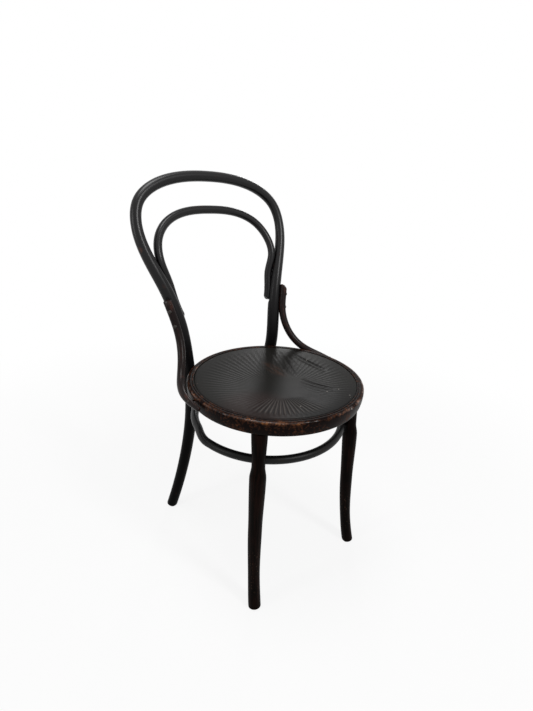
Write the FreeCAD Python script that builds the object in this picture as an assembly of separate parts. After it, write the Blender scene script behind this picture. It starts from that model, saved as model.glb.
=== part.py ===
import FreeCAD, Part
import math
import os
from FreeCAD import Placement, Rotation, Vector

# Bentwood bistro chair: one bent rod makes both rear legs and the outer hoop of the back.
# A lighter hoop is screwed inside it, two hip braces tie it to the round seat, and a
# bent ring ties the four legs together below. All sizes are millimetres and degrees.
# The model is drawn about the seat's axis, with the front towards -Y and the floor at Z = 0,
# and each piece is moved along Y at the end, so that the chair stands centred on its origin.

# Seat ring and pressed panel
seat_radius = 205.0
seat_height = 470.0
ring_width = 42.0
ring_thickness = 33.0
ring_inset = 3.0
ring_top_round = 6.0
ring_bottom_round = 4.0
ring_face = 18.0
panel_thickness = 4.5
panel_dish = 10.0
panel_drop = 0.8
panel_edge_round = 1.2
panel_gap = 0.4
rebate_gap = 0.1

# Rear legs and outer hoop, one tapered rod
post_radius = 16.2
post_angle = 36.8
hoop_rod_radius = 12.2
ring_level_radius = 15.0
rear_foot_radius = 13.4
rear_foot_inset = 40.0
rear_foot_beyond = 19.0
shin_inset = 89.5
shin_before = 0.5
shin_height = 205.0
back_lean = 20.0
lean_rise = 10.0
lean_bend = 160.0
waist_rise = 86.0
waist_x = 143.5
flare_rise = 94.0
flare_x = 167.0
shoulder_rise = 52.0
shoulder_x = 187.0
hoop_half_width = 202.5
hoop_wide_rise = 76.0
hoop_head_height = 106.0
hoop_roundness = 2.32

# Inner hoop
inner_rod_radius = 9.8
inner_side_angle = 203.0
inner_left_reach = 90.0
inner_right_reach = 58.0
inner_leave_rise = 8.0
inner_half_width = 164.4
inner_wide_rise = 35.0
inner_head_height = 114.5
inner_roundness = 2.5
inner_extra_lean = 7.0
inner_end_slant = Vector(-1, 0, -1)

# Hip braces
brace_radius = 9.4
brace_tip_radius = 4.8
brace_top_rise = 164.5
brace_touch_reach = 60.0
brace_side_angle = 46.0
brace_knee_angle = 42.0
brace_knee_rise = 67.5
brace_knee_gap = 10.0
brace_drop_angle = 36.5
brace_drop_rise = 35.5
brace_drop_gap = 3.0
brace_rim_angle = 27.0
brace_rim_rise = 17.0
brace_flank_angle = 16.5
brace_flank_rise = 9.0
brace_flank_gap = 1.4
brace_screw_angle = 6.0
brace_screw_rise = 6.0
brace_tip_angle = -4.0
brace_tip_rise = 3.5
brace_end_slant = Vector(0.6, -0.5, 1.0)

# Front legs
front_top_inset = 69.0
front_top_behind = 85.0
front_ring_angle = 43.1
front_calf_inset = 58.4
front_calf_behind = 67.2
front_calf_height = 200.0
front_foot_inset = 46.6
front_foot_behind = 38.5
front_top_radius = 16.4
front_waist_radius = 13.6
front_swell_radius = 17.2
front_calf_radius = 14.6
front_ankle_radius = 12.8
front_foot_radius = 13.8
swell_drop = 34.6
ankle_height = 75.0
tenon_radius = 11.0
tenon_length = 24.0

# Leg ring
leg_ring_drop = 80.4
leg_ring_inset = 21.0
leg_ring_rod = 9.0
leg_ring_back = 21.8
rear_ring_angle = 34.3

# Bedding of one rod on another, and clearances
post_bed = 1.6
rod_bed = 0.8
rear_ring_bed = 1.6
front_ring_bed = 1.0
bed_gap = 0.3
hole_gap = 0.15
foot_round = 3.0
foot_lean_height = 12.0
trim_reach = 40.0

# Fasteners
bolt_radius = 3.0
bolt_head_radius = 8.0
bolt_head_height = 3.4
washer_radius = 9.0
washer_thickness = 1.5
nut_radius = 6.6
nut_thickness = 5.0
bolt_tail = 2.0
screw_radius = 2.0
screw_head_radius = 4.2
screw_head_height = 2.2
screw_bite = 14.0
screw_tip = 5.0
screw_blunt = 0.2
head_crown = 0.7
seat_gap = 0.05
hoop_screw_first = 20.0
hoop_screw_second = 68.0
brace_screw_first = 18.0
brace_screw_second = 52.0
lock_screw_length = 32.0
pin_radius = 0.9
pin_length = 14.0
pin_count = 8
pin_inset = 6.0
head_sink = 1.1

# Sections along each rod, closer together where it bends, and corners round each section
post_steps = 49
inner_steps = 27
brace_steps = 14
front_steps = 15
ring_steps = 32
fine_steps = 400
bend_weight = 260.0
rod_corners = 16
seat_corners = 64
dish_rings = 3
head_turns = (0, 22, 44, 66, 90)
halvings = 40
screw_corners = 8
bolt_corners = 12
nut_corners = 6
pin_corners = 6

ring_underside = seat_height - ring_thickness
ring_middle = seat_height - ring_thickness / 2
ring_bore = seat_radius - ring_width
panel_radius = seat_radius - ring_face
leg_ring_radius = seat_radius - leg_ring_inset
rear_foot_x = seat_radius - rear_foot_inset
rear_foot_y = seat_radius + rear_foot_beyond
shin_x = seat_radius - shin_inset
shin_y = seat_radius - shin_before
front_top_x = seat_radius - front_top_inset
front_top_y = seat_radius - front_top_behind
front_calf_x = seat_radius - front_calf_inset
front_calf_y = seat_radius - front_calf_behind
front_foot_x = seat_radius - front_foot_inset
front_foot_y = seat_radius - front_foot_behind
leg_ring_height = ring_underside - leg_ring_drop
waist_height = seat_height + waist_rise
flare_height = waist_height + flare_rise
shoulder_height = flare_height + shoulder_rise
hoop_wide_height = shoulder_height + hoop_wide_rise
inner_leave_height = flare_height + inner_leave_rise
inner_wide_height = inner_leave_height + inner_wide_rise
inner_left_end = inner_leave_height - inner_left_reach
inner_right_end = inner_leave_height - inner_right_reach
brace_top_height = ring_middle + brace_top_rise
brace_low_touch = brace_top_height - brace_touch_reach
up = Vector(0, 0, 1)


def polar(radius, angle, height, centre_y=0.0):
    """Point at an angle measured from straight back (+Y) towards +X."""
    turn = math.radians(angle)
    return Vector(radius * math.sin(turn), centre_y + radius * math.cos(turn), height)


def unit(vector):
    """Copy of a vector with length one."""
    copy = Vector(vector)
    copy.normalize()
    return copy


def mirrored(point):
    """The same point on the other side of the chair."""
    return Vector(-point.x, point.y, point.z)


def ramp(value, places, sizes):
    """Straight-line reading of sizes at rising places."""
    if value <= places[0]:
        return sizes[0]
    for low in range(len(places) - 1):
        if value <= places[low + 1]:
            share = (value - places[low]) / (places[low + 1] - places[low])
            return sizes[low] + share * (sizes[low + 1] - sizes[low])
    return sizes[-1]


def eased(value, places, sizes):
    """Reading of sizes at rising places, level at each of them like a turned profile."""
    if value <= places[0]:
        return sizes[0]
    for low in range(len(places) - 1):
        if value <= places[low + 1]:
            share = (value - places[low]) / (places[low + 1] - places[low])
            blend = share * share * (3 - 2 * share)
            return sizes[low] + blend * (sizes[low + 1] - sizes[low])
    return sizes[-1]


def spline(points):
    """Smooth curve through points."""
    curve = Part.BSplineCurve()
    curve.interpolate(points)
    return curve


def section(point, along, side, radius):
    """A rod's outline about a point, square to a direction: many corners in place of a circle."""
    across = unit(side - along * side.dot(along))
    third = along.cross(across)
    reach = radius / math.cos(math.pi / (2 * rod_corners))
    turns = [2 * math.pi * number / rod_corners for number in range(rod_corners)]
    corners = [point + across * (reach * math.cos(turn)) + third * (reach * math.sin(turn))
               for turn in turns]
    return Part.makePolygon(corners + corners[:1])


def stations(curve, count):
    """Parameters along a curve, closer together where it bends more."""
    fine = [curve.parameter(point) for point in curve.discretize(Number=fine_steps)]
    travel = [0.0]
    for low, high in zip(fine, fine[1:]):
        step = (curve.value(high) - curve.value(low)).Length
        bend = unit(curve.tangent(low)[0]).getAngle(unit(curve.tangent(high)[0]))
        travel.append(travel[-1] + step + bend_weight * bend)
    return [ramp(travel[-1] * number / (count - 1), travel, fine) for number in range(count)]


def sections(curve, radius_at, count, side):
    """Outlines along a curve and square to it, radius set by place."""
    outlines = []
    for place in stations(curve, count):
        point = curve.value(place)
        outlines.append(section(point, unit(curve.tangent(place)[0]), side, radius_at(point)))
    return outlines


def rod(curve, radius_at, count, side):
    """Rod along a curve: a ruled loft through outlines square to it."""
    return Part.makeLoft(sections(curve, radius_at, count, side), True, True)


def foot_sections(foot, above, radius, along, side):
    """Level outlines that end a leg flat on the floor with its edge eased."""
    raised = foot + (above - foot) * (foot_round / (above.z - foot.z))
    return [section(foot, along, side, radius - foot_round), section(raised, along, side, radius)]


def cutter(point, direction, reach):
    """Stub cylinder that starts at a point and takes away all that lies beyond it."""
    return Part.makeCylinder(reach, reach, point, direction)


def faceted(profile, corners, point, direction):
    """Solid with flat sides: (radius, height) profile about an axis from point along direction."""
    rings = []
    for radius, height in profile:
        turns = [2 * math.pi * (number + 0.5) / corners for number in range(corners)]
        rings.append([Vector(radius * math.cos(turn), radius * math.sin(turn), height) for turn in turns])
    faces = [Part.Face(Part.makePolygon(ring + ring[:1])) for ring in (rings[0], rings[-1])]
    for low, high in zip(rings, rings[1:]):
        for number in range(corners):
            after = (number + 1) % corners
            side = [low[number], low[after], high[after], high[number], low[number]]
            faces.append(Part.Face(Part.makePolygon(side)))
    solid = Part.Solid(Part.Shell(faces))
    solid.Placement = Placement(point, Rotation(up, direction))
    return solid


def without(shape, tools):
    """Shape with every tool cut from it, as one solid."""
    for tool in tools:
        shape = shape.cut(tool)
    return shape.Solids[0] if len(shape.Solids) == 1 else shape


def back_y(height):
    """Depth of the back's middle surface: upright at the seat, bent, then leaning straight."""
    start = seat_post().y
    bend_radius = lean_bend / math.sin(math.radians(back_lean))
    rise = height - seat_height - lean_rise
    if rise <= 0:
        return start
    if rise <= lean_bend:
        return start + bend_radius - math.sqrt(bend_radius ** 2 - rise ** 2)
    bent = bend_radius * (1 - math.cos(math.radians(back_lean)))
    return start + bent + (rise - lean_bend) * math.tan(math.radians(back_lean))


def seat_post():
    """Middle of a rear post where it beds on the outside of the seat ring."""
    return polar(seat_radius + post_radius - post_bed, post_angle, ring_middle)


def post_radius_at(point):
    """Radius of the rear rod: fullest just above the seat, thin round the hoop."""
    heights = [0.0, leg_ring_height, ring_middle, waist_height, hoop_wide_height]
    radii = [rear_foot_radius, ring_level_radius, post_radius, post_radius, hoop_rod_radius]
    return ramp(point.z, heights, radii)


def rear_foot():
    """Middle of the right rear foot on the floor."""
    return Vector(rear_foot_x, rear_foot_y, 0)


def post_half():
    """Points of the rear rod from the right foot up to the hoop's crown."""
    ring_reach = leg_ring_radius + leg_ring_rod + ring_level_radius - rear_ring_bed
    points = [
        rear_foot(),
        Vector(shin_x, shin_y, shin_height),
        polar(ring_reach, rear_ring_angle, leg_ring_height, leg_ring_back),
        seat_post(),
        Vector(waist_x, back_y(waist_height), waist_height),
        Vector(flare_x, back_y(flare_height), flare_height),
        Vector(shoulder_x, back_y(shoulder_height), shoulder_height),
    ]
    return points + hoop_head(hoop_half_width, hoop_wide_height, hoop_head_height, hoop_roundness, 0.0)


def hoop_head(half_width, wide_height, head_height, roundness, extra_lean):
    """Quarter of a rounded hoop from its widest place to its crown: a superellipse arc."""
    points = []
    for degrees in head_turns:
        turn = math.radians(degrees)
        x = half_width * max(0.0, math.cos(turn)) ** (2 / roundness)
        z = wide_height + head_height * math.sin(turn) ** (2 / roundness)
        lean = math.tan(math.radians(back_lean + extra_lean)) - math.tan(math.radians(back_lean))
        y = back_y(z) + max(0.0, z - inner_leave_height) * (lean if extra_lean else 0.0)
        points.append(Vector(x if degrees < 90 else 0.0, y, z))
    return points


def both_sides(half):
    """Half a line that ends on the middle plane, carried on down the other side."""
    return half + [mirrored(point) for point in reversed(half[:-1])]


def post_curve():
    """Centre line of the whole rear rod, right foot to left foot."""
    return spline(both_sides(post_half()))


post_line = post_curve()


def post_at(height):
    """Middle of the right rear post at a height, read off its centre line by halving."""
    low = post_line.FirstParameter
    high = post_line.parameter(Vector(hoop_half_width, back_y(hoop_wide_height), hoop_wide_height))
    for step in range(halvings):
        middle = (low + high) / 2
        if post_line.value(middle).z < height:
            low = middle
        else:
            high = middle
    return post_line.value(low)


def beside_post(height, rod_radius, angle):
    """Middle of a rod bedded on the right post, at an angle from +X round towards -Y."""
    post = post_at(height)
    apart = post_radius_at(post) + rod_radius - rod_bed + bed_gap
    turn = math.radians(angle)
    return post + Vector(apart * math.cos(turn), -apart * math.sin(turn), 0)


def inner_side(end_height):
    """Points of the inner hoop's side, from its end up the post to where it leaves it."""
    levels = [end_height, (end_height + inner_leave_height) / 2, inner_leave_height]
    return [beside_post(level, inner_rod_radius, inner_side_angle) for level in levels]


def inner_curve():
    """Centre line of the inner hoop, right end to left end."""
    right = inner_side(inner_right_end)
    left = [mirrored(point) for point in inner_side(inner_left_end)]
    head = hoop_head(inner_half_width, inner_wide_height, inner_head_height,
                     inner_roundness, inner_extra_lean)
    return spline(right + both_sides(head) + left[::-1])


def brace_radius_at(point):
    """Radius of a hip brace: even down to the rim, then tapering to its tongue."""
    rim = polar(seat_radius, 90 - brace_rim_angle, 0).y
    tip = polar(seat_radius, 90 - brace_tip_angle, 0).y
    return ramp(point.y, [tip, rim], [brace_tip_radius, brace_radius])


def brace_points():
    """Points of the right hip brace, from its top on the post to its tip on the rim."""
    points = []
    for height in (brace_top_height, (brace_top_height + brace_low_touch) / 2, brace_low_touch):
        points.append(beside_post(height, brace_radius, brace_side_angle))
    route = [
        (brace_knee_angle, brace_knee_rise, brace_knee_gap),
        (brace_drop_angle, brace_drop_rise, brace_drop_gap),
        (brace_rim_angle, brace_rim_rise, brace_flank_gap),
        (brace_flank_angle, brace_flank_rise, brace_flank_gap),
        (brace_screw_angle, brace_screw_rise, bed_gap),
        (brace_tip_angle, brace_tip_rise, bed_gap),
    ]
    for angle, rise, gap in route:
        trial = polar(seat_radius, 90 - angle, ring_middle)
        reach = seat_radius + brace_radius_at(trial) + gap
        points.append(polar(reach, 90 - angle, ring_middle + rise))
    return points


def front_leg_half():
    """Points of the right front leg, from its foot to above its shoulder."""
    reach = leg_ring_radius + leg_ring_rod + front_waist_radius - front_ring_bed
    waist = polar(reach, 180 - front_ring_angle, leg_ring_height, leg_ring_back)
    calf = Vector(front_calf_x, -front_calf_y, front_calf_height)
    top = Vector(front_top_x, -front_top_y, ring_underside)
    foot = Vector(front_foot_x, -front_foot_y, 0)
    return [foot, calf, waist, top]


def front_radius_at(point):
    """Turned profile of a front leg, waisted where the leg ring passes."""
    swell_height = leg_ring_height - swell_drop
    heights = [0.0, ankle_height, front_calf_height, swell_height, leg_ring_height, ring_underside]
    radii = [front_foot_radius, front_ankle_radius, front_calf_radius,
             front_swell_radius, front_waist_radius, front_top_radius]
    return eased(point.z, heights, radii)


def inward(point, centre_y=0.0):
    """Level direction from a point towards the seat's or leg ring's axis."""
    return unit(Vector(-point.x, centre_y - point.y, 0))


def fastener(point, direction, length, kind):
    """Screw or bolt: its head's seat is at point, and it is driven along direction."""
    shank, head, head_height, corners, pointed = kind
    profile = [(head * head_crown, -head_height), (head, 0), (shank, 0)]
    if pointed:
        profile += [(shank, length - screw_tip), (shank * screw_blunt, length)]
    else:
        profile += [(shank, length)]
    return faceted(profile, corners, point, direction)


def hole_for(point, direction, length, kind):
    """Clear space for a fastener and for its head down to its seat."""
    shank, head, head_height, corners, pointed = kind
    outer = head + hole_gap
    inner = shank + hole_gap
    profile = [(outer, -head_height - head), (outer, -seat_gap), (inner, -seat_gap),
               (inner, length + hole_gap)]
    return faceted(profile, corners, point, direction)


def bolt_places():
    """Seat and direction of the bolt through each rear post and the seat ring."""
    post = seat_post()
    drop = post_radius - math.sqrt(post_radius ** 2 - (bolt_head_radius + hole_gap) ** 2)
    seat = post - inward(post) * (post_radius - drop)
    return [(seat, inward(seat)), (mirrored(seat), inward(mirrored(seat)))]


def washer_reach():
    """Distance from the seat's axis to the washer's outer face, inside the ring."""
    return math.sqrt((ring_bore - hole_gap) ** 2 - washer_radius ** 2)


def bolt_length():
    """Length of a frame bolt from under its head to beyond its nut."""
    seat = bolt_places()[0][0]
    outside = math.hypot(seat.x, seat.y)
    return outside - washer_reach() + washer_thickness + nut_thickness + bolt_tail


def across_to_post(height, rod_radius, angle):
    """Seat and level direction of a screw through a rod bedded on the right post."""
    middle = beside_post(height, rod_radius, angle)
    post = post_at(height)
    toward = unit(Vector(post.x - middle.x, post.y - middle.y, 0))
    return middle - toward * (rod_radius - head_sink), toward


def hoop_screw_places():
    """Seats of the screws from the inner hoop into the posts."""
    places = []
    for end, flip in ((inner_right_end, False), (inner_left_end, True)):
        for rise in (hoop_screw_first, hoop_screw_second):
            seat, toward = across_to_post(end + rise, inner_rod_radius, inner_side_angle)
            places.append((mirrored(seat), mirrored(toward)) if flip else (seat, toward))
    return places


def brace_screw_places():
    """Seats of the screws from the hip braces into the posts."""
    places = []
    for reach in (brace_screw_first, brace_screw_second):
        seat, toward = across_to_post(brace_top_height - reach, brace_radius, brace_side_angle)
        places.append((seat, toward))
        places.append((mirrored(seat), mirrored(toward)))
    return places


def rim_screw_places():
    """Seats of the screws from the braces' ends into the seat ring."""
    height = ring_middle + brace_screw_rise
    thick = brace_radius_at(polar(seat_radius, 90 - brace_screw_angle, height))
    seat = polar(seat_radius + 2 * thick + bed_gap - head_sink, 90 - brace_screw_angle, height)
    return [(seat, inward(seat)), (mirrored(seat), inward(mirrored(seat)))]


def leg_ring_screw_places():
    """Seats of the screws from inside the leg ring into the four legs."""
    places = []
    near = leg_ring_radius - leg_ring_rod + head_sink
    for angle in (rear_ring_angle, 180 - front_ring_angle):
        seat = polar(near, angle, leg_ring_height, leg_ring_back)
        outward = inward(seat, leg_ring_back) * -1
        places.append((seat, outward))
        places.append((mirrored(seat), mirrored(outward)))
    return places


def lock_screw_places():
    """Seats of the screws from inside the seat ring across each front leg's tenon."""
    top = Vector(front_top_x, -front_top_y, ring_underside)
    tenon = top + front_axis() * (ring_middle - ring_underside)
    seat = unit(Vector(tenon.x, tenon.y, 0)) * (ring_bore + head_sink)
    seat.z = ring_middle
    outward = inward(seat) * -1
    return [(seat, outward), (mirrored(seat), mirrored(outward))]


def front_axis():
    """Direction of the right front leg at its top."""
    curve = spline(front_leg_half())
    return unit(curve.tangent(curve.LastParameter)[0])


def panel_top(radius):
    """Height of the pressed panel's upper face at a distance from its centre."""
    share = radius / panel_radius
    return seat_height - panel_drop - panel_dish * (1 - share * share) ** 2


def pin_places():
    """Seats of the pins that hold the panel in its rebate."""
    places = []
    for number in range(pin_count):
        angle = 360.0 * (number + 0.5) / pin_count
        reach = panel_radius - pin_inset
        seat = polar(reach, angle, panel_top(reach))
        places.append((seat, Vector(0, 0, -1)))
    return places


def screw_length(rod_radius):
    """Length of a wood screw through a rod and on into the piece behind."""
    return 2 * rod_radius - head_sink + screw_bite


def drilled(places, length, kind):
    """Holes for a set of fasteners."""
    return [hole_for(seat, way, length, kind) for seat, way in places]


def driven(places, length, kind):
    """A set of like fasteners as separate solids in one group."""
    return Part.makeCompound([fastener(seat, way, length, kind) for seat, way in places])


def pins(gap):
    """The panel's pins, or with a gap their holes."""
    profile = [(pin_radius + gap, 0), (pin_radius + gap, pin_length + gap)]
    return [faceted(profile, pin_corners, seat, way) for seat, way in pin_places()]


bolt_kind = (bolt_radius, bolt_head_radius, bolt_head_height, bolt_corners, False)
screw_kind = (screw_radius, screw_head_radius, screw_head_height, screw_corners, True)
bolt_holes = drilled(bolt_places(), bolt_length(), bolt_kind)
hoop_holes = drilled(hoop_screw_places(), screw_length(inner_rod_radius), screw_kind)
brace_holes = drilled(brace_screw_places(), screw_length(brace_radius), screw_kind)
rim_holes = drilled(rim_screw_places(), screw_length(brace_tip_radius), screw_kind)
leg_ring_holes = drilled(leg_ring_screw_places(), screw_length(leg_ring_rod), screw_kind)
lock_holes = drilled(lock_screw_places(), lock_screw_length, screw_kind)
pin_holes = pins(hole_gap)


def leg_ring_rod_solid(gap):
    """The bent leg ring, or with a gap the space that the legs leave for it."""
    outlines = []
    for number in range(ring_steps):
        angle = 360.0 * number / ring_steps
        middle = polar(leg_ring_radius, angle, leg_ring_height, leg_ring_back)
        outlines.append(section(middle, polar(1, angle + 90, 0), polar(1, angle, 0), leg_ring_rod + gap))
    return Part.makeLoft(outlines, True, True, True)


def inner_rod_solid(gap):
    """The inner hoop's rod, or with a gap the space that the posts leave for it."""
    return rod(inner_curve(), lambda point: inner_rod_radius + gap, inner_steps, Vector(0, 1, 0))


def brace_rod_solid(gap, flip):
    """One hip brace's rod, or with a gap the space that the post leaves for it."""
    points = brace_points()
    if flip:
        points = [mirrored(point) for point in points]
    return rod(spline(points), lambda point: brace_radius_at(point) + gap, brace_steps, Vector(1, 0, 0))


def back_frame():
    """Both rear legs and the outer hoop, bent from one tapered rod."""
    back = Vector(0, 1, 0)
    above = post_at(foot_lean_height)
    right = foot_sections(rear_foot(), above, rear_foot_radius, up, back)
    left = foot_sections(mirrored(rear_foot()), mirrored(above), rear_foot_radius, -up, back)
    between = sections(post_line, post_radius_at, post_steps, back)[1:-1]
    shape = Part.makeLoft(right + between + left[::-1], True, True)
    seat_bed = Part.makeCylinder(seat_radius + bed_gap, ring_thickness + 2 * bed_gap,
                                 Vector(0, 0, ring_underside - bed_gap))
    beds = [seat_bed, leg_ring_rod_solid(bed_gap), inner_rod_solid(bed_gap)]
    beds += [brace_rod_solid(bed_gap, flip) for flip in (False, True)]
    return without(shape, beds + bolt_holes + hoop_holes + brace_holes + leg_ring_holes)


def inner_hoop():
    """Lighter hoop inside the back, its ends cut on the slant and screwed to the posts."""
    shape = inner_rod_solid(0.0)
    cuts = []
    for end, flip in ((inner_right_end, False), (inner_left_end, True)):
        tip = beside_post(end, inner_rod_radius, inner_side_angle)
        slant = inner_end_slant
        if flip:
            tip = mirrored(tip)
            slant = mirrored(slant)
        cuts.append(cutter(tip, slant, trim_reach))
    return without(shape, cuts + hoop_holes)


def hip_brace(flip):
    """Bent brace from a rear post down to the seat ring's side."""
    shape = brace_rod_solid(0.0, flip)
    top = brace_points()[0]
    slant = brace_end_slant
    if flip:
        top = mirrored(top)
        slant = mirrored(slant)
    seat_side = Part.makeCylinder(seat_radius + bed_gap, seat_height, Vector(0, 0, 0))
    cuts = [cutter(top, slant, trim_reach), seat_side]
    return without(shape, cuts + brace_holes + rim_holes)


def seat_ring():
    """Bent ring of the seat, turned with a rebate for the panel and rounded edges."""
    floor = seat_height - panel_drop - panel_thickness - rebate_gap
    wall = panel_radius + panel_gap
    profile = [(ring_bore, ring_underside)]
    profile += rounded(seat_radius - ring_inset, ring_underside, ring_bottom_round, -1)
    profile += [(seat_radius, ring_middle)]
    profile += rounded(seat_radius, seat_height, ring_top_round, 1)[::-1]
    profile += [(wall, seat_height), (wall, floor), (ring_bore, floor)]
    shape = turned(profile)
    sockets = []
    for flip in (False, True):
        base = Vector(front_top_x, -front_top_y, ring_underside)
        axis = front_axis()
        if flip:
            base = mirrored(base)
            axis = mirrored(axis)
        start = base - axis * tenon_radius
        deep = tenon_length + tenon_radius + 2 * bed_gap
        sockets.append(Part.makeCylinder(tenon_radius + bed_gap, deep, start, axis))
    return without(shape, sockets + bolt_holes + rim_holes + lock_holes + pin_holes)


def rounded(radius, height, size, way):
    """Profile points that round an outer corner off in two flats, from its level face outward."""
    share = 1 - math.sqrt(0.5)
    return [(radius - size, height), (radius - size * share, height - way * size * share),
            (radius, height - way * size)]


def turned(profile):
    """Full turn of a closed (radius, height) profile about the seat's axis, in many flat steps."""
    reach = 1 / math.cos(math.pi / (2 * seat_corners))
    turns = [360.0 * number / seat_corners for number in range(seat_corners + 1)]
    faces = []
    for (radius, height), (next_radius, next_height) in zip(profile, profile[1:] + profile[:1]):
        for turn, after in zip(turns, turns[1:]):
            low = [polar(radius * reach, turn, height), polar(radius * reach, after, height)]
            high = [polar(next_radius * reach, after, next_height), polar(next_radius * reach, turn, next_height)]
            corners = low[:2 if radius else 1] + high[:2 if next_radius else 1]
            if radius or next_radius:
                faces.append(Part.Face(Part.makePolygon(corners + corners[:1])))
    return Part.Solid(Part.Shell(faces)).removeSplitter()


def seat_panel():
    """Pressed plywood panel, dished towards its middle."""
    edge = panel_radius - panel_edge_round
    rim = panel_top(panel_radius)
    low = rim - panel_thickness
    dish = [ring_bore * number / dish_rings for number in range(dish_rings + 1)]
    profile = [(radius, panel_top(radius)) for radius in dish + [edge]]
    profile += [(panel_radius, rim - panel_edge_round), (panel_radius, low), (ring_bore, low)]
    profile += [(radius, panel_top(radius) - panel_thickness) for radius in dish[-2::-1]]
    return without(turned(profile), pin_holes)


def front_leg(flip):
    """Turned front leg with its tenon, housed where the leg ring passes."""
    points = front_leg_half()
    axis = front_axis()
    points.append(points[-1] + axis * front_top_radius)
    base = Vector(front_top_x, -front_top_y, ring_underside)
    if flip:
        points = [mirrored(point) for point in points]
        axis = mirrored(axis)
        base = mirrored(base)
    line = spline(points)
    side = Vector(1, 0, 0)
    above = line.value(stations(line, front_steps)[1])
    outlines = foot_sections(points[0], above, front_foot_radius, up, side)
    outlines += sections(line, front_radius_at, front_steps, side)[1:]
    shape = Part.makeLoft(outlines, True, True)
    shape = shape.cut(cutter(Vector(base.x, base.y, ring_underside), up, trim_reach))
    start = base - axis * tenon_radius
    tenon = Part.makeCylinder(tenon_radius, tenon_length + tenon_radius, start, axis)
    shape = shape.fuse(tenon).removeSplitter()
    return without(shape, [leg_ring_rod_solid(bed_gap)] + leg_ring_holes + lock_holes)


def leg_ring():
    """Bent ring that ties the four legs together."""
    return without(leg_ring_rod_solid(0.0), leg_ring_holes)


def stack(start_gap, outer, thickness, corners):
    """Washers or nuts on the frame bolts, inside the seat ring."""
    group = []
    for seat, way in bolt_places():
        outside = math.hypot(seat.x, seat.y)
        start = seat + way * (outside - washer_reach() + start_gap)
        disc = faceted([(outer, 0), (outer, thickness)], corners, start, way)
        hole = bolt_radius + hole_gap
        bore = faceted([(hole, -thickness), (hole, 2 * thickness)], bolt_corners, start, way)
        group.append(disc.cut(bore).Solids[0])
    return Part.makeCompound(group)


pieces = {
    "back_frame": back_frame(),
    "inner_hoop": inner_hoop(),
    "right_hip_brace": hip_brace(False),
    "left_hip_brace": hip_brace(True),
    "seat_ring": seat_ring(),
    "seat_panel": seat_panel(),
    "right_front_leg": front_leg(False),
    "left_front_leg": front_leg(True),
    "leg_ring": leg_ring(),
    "frame_bolts": driven(bolt_places(), bolt_length(), bolt_kind),
    "frame_bolt_washers": stack(0.0, washer_radius, washer_thickness, bolt_corners),
    "frame_bolt_nuts": stack(washer_thickness, nut_radius, nut_thickness, nut_corners),
    "inner_hoop_screws": driven(hoop_screw_places(), screw_length(inner_rod_radius), screw_kind),
    "brace_post_screws": driven(brace_screw_places(), screw_length(brace_radius), screw_kind),
    "brace_rim_screws": driven(rim_screw_places(), screw_length(brace_tip_radius), screw_kind),
    "leg_ring_screws": driven(leg_ring_screw_places(), screw_length(leg_ring_rod), screw_kind),
    "tenon_lock_screws": driven(lock_screw_places(), lock_screw_length, screw_kind),
    "seat_panel_pins": Part.makeCompound(pins(0.0)),
}

crown_back = post_half()[-1].y + hoop_rod_radius
centre_shift = Vector(0, (seat_radius - crown_back) / 2, 0)

os.makedirs("parts", exist_ok=True)
for name, shape in pieces.items():
    shape.translate(centre_shift)
    shape.exportStep("parts/" + name + ".step")
    print(name, len(shape.Solids), shape.isValid(), round(shape.Volume))
print("moved along Y by", round(centre_shift.y, 3))
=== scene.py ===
"""Looks of a bentwood bistro chair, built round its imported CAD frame. Everything is in metres.

The front faces -Y and the floor is at Z = 0. Every wooden piece is a surface of two parameters:
a rod is a round section carried along a bent line, the seat ring and the screws are profiles
turned about an axis, and the pressed panel is a height over a round grid.
"""

import math

import bpy
import numpy as np
from mathutils import Matrix


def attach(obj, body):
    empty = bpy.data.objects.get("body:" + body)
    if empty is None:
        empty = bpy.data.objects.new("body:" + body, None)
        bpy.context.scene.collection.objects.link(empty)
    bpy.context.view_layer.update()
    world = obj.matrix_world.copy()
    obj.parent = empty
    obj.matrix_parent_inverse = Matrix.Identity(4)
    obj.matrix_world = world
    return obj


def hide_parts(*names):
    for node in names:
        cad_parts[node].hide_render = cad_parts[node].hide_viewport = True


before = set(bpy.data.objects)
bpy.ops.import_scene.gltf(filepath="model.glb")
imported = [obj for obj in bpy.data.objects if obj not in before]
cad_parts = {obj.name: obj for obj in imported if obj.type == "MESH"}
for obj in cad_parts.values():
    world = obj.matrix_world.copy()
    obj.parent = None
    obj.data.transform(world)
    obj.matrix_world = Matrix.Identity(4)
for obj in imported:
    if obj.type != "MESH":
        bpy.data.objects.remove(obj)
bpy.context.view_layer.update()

# Sizes that the pieces share
SEAT_Y = -0.050031
SEAT_TOP = 0.470
SEAT_R = 0.2028
SEAT_SLOPE = 0.022
SEAT_SHIFT = 0.0012
SEAT_MIDDLE = np.array([SEAT_SHIFT, SEAT_Y - SEAT_SHIFT])
RING_THICK = 0.033
RING_BORE = 0.163
PANEL_R = 0.187
PANEL_THICK = 0.0045
PANEL_EDGE = SEAT_TOP - 0.0008
PANEL_DISH = 0.0105
LEG_RING_Z = 0.3566
LEG_RING_R = 0.184
LEG_RING_FLAT = 0.0105
LEG_RING_ROD = 0.009
LEG_RING_Y = SEAT_Y + 0.0218
SCARF_START = math.radians(255.0)
SCARF_END = math.radians(304.0)
INNER_ROD = 0.0098
BRACE_ROD = 0.0094
BRACE_TIP = 0.0048
BED_GAP = 0.0002
FOOT_EDGE = 0.0018
MIRROR = np.array([-1.0, 1.0, 1.0])
Y_AXIS = np.array([0.0, 1.0, 0.0])
X_AXIS = np.array([1.0, 0.0, 0.0])
UP = np.array([0.0, 0.0, 1.0])


# Lines

def unit(vectors):
    """Vectors divided by their lengths, along the last axis."""
    vectors = np.asarray(vectors, float)
    return vectors / np.linalg.norm(vectors, axis=-1, keepdims=True)


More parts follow.
